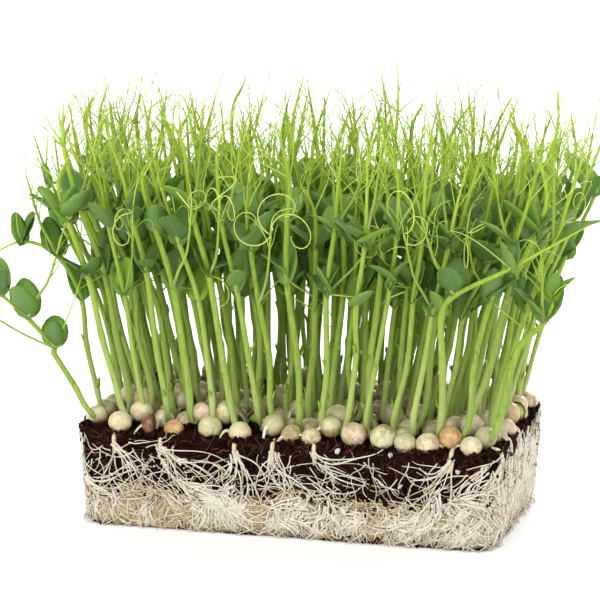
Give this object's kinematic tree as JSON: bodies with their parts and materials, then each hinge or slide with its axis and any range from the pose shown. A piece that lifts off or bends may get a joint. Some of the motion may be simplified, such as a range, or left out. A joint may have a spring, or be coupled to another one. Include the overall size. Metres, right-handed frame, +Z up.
{
  "type": "pea shoot microgreens block",
  "caption": "Block of young pea shoots lifted from its tray: dark soil slab wrapped in a white root mat, germinated peas on top, dense stems, leaves and branched tendrils.",
  "frame": {"origin": "middle of the flat underside of the root mat, on the surface that the block rests on", "axes": "+Z up, +X along the block's long side, -Y the front long side that the picture shows"},
  "size_m": [0.254, 0.1537, 0.1787],
  "materials": {
    "soil": "damp crumbly coir soil, very dark brown, with red-brown fibres and white perlite specks",
    "roots": "felted white and cream roots, slightly waxy",
    "peas": "swollen pea seeds, cream, green, tan and grey, smooth skin with a dull shine",
    "shoots": "fresh pea leaves, stems and tendrils, waxy green, light shines through them"
  },
  "bodies": {
    "root": {"pea_bed": "peas", "root_mat": "roots", "shoots_row1_tuft1": "shoots", "shoots_row1_tuft2": "shoots", "shoots_row1_tuft3": "shoots", "shoots_row1_tuft4": "shoots", "shoots_row1_tuft5": "shoots", "shoots_row1_tuft6": "shoots", "shoots_row1_tuft7": "shoots", "shoots_row1_tuft8": "shoots", "shoots_row1_tuft9": "shoots", "shoots_row2_tuft1": "shoots", "shoots_row2_tuft2": "shoots", "shoots_row2_tuft3": "shoots", "shoots_row2_tuft4": "shoots", "shoots_row2_tuft5": "shoots", "shoots_row2_tuft6": "shoots", "shoots_row2_tuft7": "shoots", "shoots_row2_tuft8": "shoots", "shoots_row2_tuft9": "shoots", "shoots_row3_tuft1": "shoots", "shoots_row3_tuft2": "shoots", "shoots_row3_tuft3": "shoots", "shoots_row3_tuft4": "shoots", "shoots_row3_tuft5": "shoots", "shoots_row3_tuft6": "shoots", "shoots_row3_tuft7": "shoots", "shoots_row3_tuft8": "shoots", "shoots_row3_tuft9": "shoots", "shoots_row4_tuft1": "shoots", "shoots_row4_tuft2": "shoots", "shoots_row4_tuft3": "shoots", "shoots_row4_tuft4": "shoots", "shoots_row4_tuft5": "shoots", "shoots_row4_tuft6": "shoots", "shoots_row4_tuft7": "shoots", "shoots_row4_tuft8": "shoots", "shoots_row4_tuft9": "shoots", "soil_block": "soil"}
  },
  "joints": []
}
